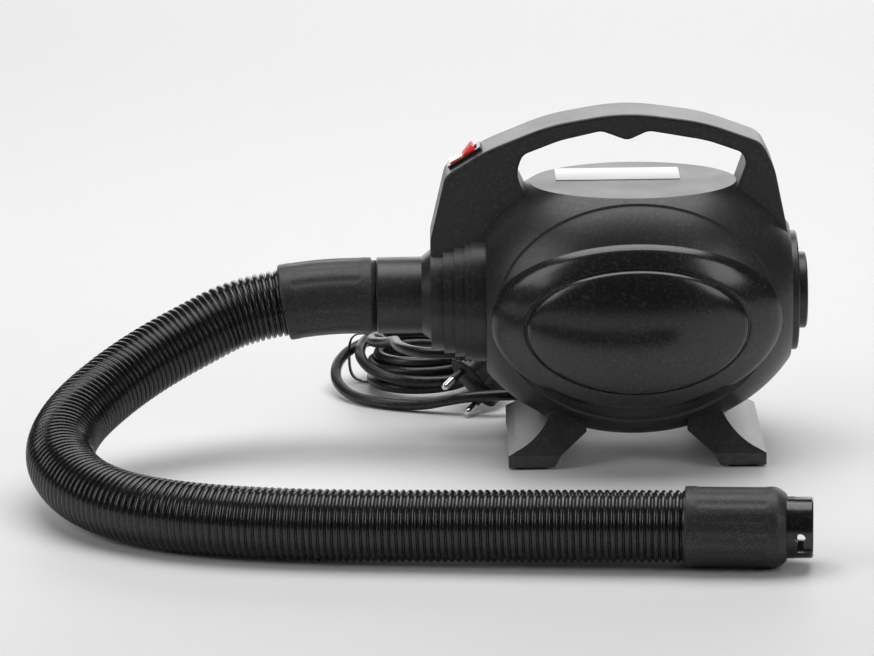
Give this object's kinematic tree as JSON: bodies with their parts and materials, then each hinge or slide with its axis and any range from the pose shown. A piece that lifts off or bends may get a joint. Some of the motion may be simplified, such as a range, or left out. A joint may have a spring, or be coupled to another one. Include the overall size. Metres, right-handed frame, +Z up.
{
  "type": "electric air mattress pump",
  "caption": "Black ellipsoidal mains air pump with loop handle, rocker switch, splayed feet, corrugated hose with bayonet nozzle, and coiled mains lead.",
  "frame": {"origin": "middle of the pump's footprint on the surface it stands on, measured on the pump without its hose and lead", "axes": "+Z up, +X from the outlet tube to the intake along the air axis, +Y towards the back shell"},
  "size_m": [0.4224, 0.4263, 0.1889],
  "materials": {
    "capacitor_yellow": "moulded case",
    "carbon": "pressed carbon",
    "coil_copper": "enamelled copper wire",
    "core_steel": "stacked steel laminations",
    "cover_black": "smoother black cover",
    "cuff_rubber": "dusty black rubber cuff",
    "fan_plastic": "moulded dark plastic",
    "frame_alu": "die cast aluminium",
    "hose_black": "glossy flexible black hose",
    "housing_black": "moulded black with a satin sheen",
    "label_paper": "white blank foil",
    "lead_pvc": "satin black flexible sheath",
    "pad_rubber": "black rubber",
    "pin_metal": "bright nickel-plated brass",
    "plug_plastic": "moulded black plug",
    "rocker_red": "translucent red",
    "screw_steel": "zinc plated steel",
    "shaft_steel": "ground steel",
    "sleeve_plastic": "black pin sleeve",
    "stand_black": "moulded black stand",
    "switch_black": "black switch frame",
    "terminal_brass": "plain brass",
    "tie_plastic": "black twist tie",
    "wire_brown": "insulated wire"
  },
  "bodies": {
    "housing": {"bearing_front": "shaft_steel", "bearing_rear": "shaft_steel", "brush_holders": "terminal_brass", "cable_clamp": "fan_plastic", "capacitor": "capacitor_yellow", "carbon_brushes": "carbon", "clamp_screws": "screw_steel", "fan_diffuser": "fan_plastic", "fan_shroud": "fan_plastic", "field_coils": "coil_copper", "foot_pads": "pad_rubber", "inner_leads": "wire_brown", "intake_flange": "housing_black", "intake_grille": "housing_black", "intake_port": "housing_black", "intake_screws": "screw_steel", "lead_tie": "tie_plastic", "mains_coil": "lead_pvc", "mains_gland": "lead_pvc", "mains_lead": "lead_pvc", "mains_loop": "lead_pvc", "mains_tail": "lead_pvc", "motor_bracket_front": "frame_alu", "motor_bracket_rear": "frame_alu", "motor_mount_front": "pad_rubber", "motor_mount_rear": "pad_rubber", "motor_screws": "screw_steel", "outlet_seal": "pad_rubber", "outlet_tube": "housing_black", "pin_sleeves": "sleeve_plastic", "plug_body": "plug_plastic", "plug_pins": "pin_metal", "rating_label": "label_paper", "shell_back": "housing_black", "shell_front": "housing_black", "shell_screws": "screw_steel", "side_cover_back": "cover_black", "side_cover_front": "cover_black", "stand_left": "stand_black", "stand_right": "stand_black", "stand_screws": "screw_steel", "stator_core": "core_steel", "switch_frame": "switch_black", "switch_terminals": "terminal_brass"},
    "rocker": {"switch_rocker": "rocker_red"},
    "rotor": {"motor_shaft": "shaft_steel", "armature_core": "core_steel", "armature_winding": "coil_copper", "commutator": "coil_copper", "fan_wheel": "fan_plastic", "fan_nut": "screw_steel"},
    "hose": {"hose_cuff": "cuff_rubber", "hose_tube": "hose_black", "hose_end_cuff": "cuff_rubber", "hose_nozzle": "housing_black"}
  },
  "joints": [
    {"name": "switch_rock", "type": "hinge", "parent": "housing", "child": "rocker", "pos_m": [-0.06736, 0, 0.16187], "axis": [0, 1, 0], "range_deg": [0, 18]},
    {"name": "motor_spin", "type": "hinge", "parent": "housing", "child": "rotor", "pos_m": [0.0231, 0, 0.086], "axis": [1, 0, 0], "continuous": true},
    {"name": "hose_pull", "type": "slide", "parent": "housing", "child": "hose", "axis": [-1, 0, 0], "range_m": [0, 0.03]}
  ]
}
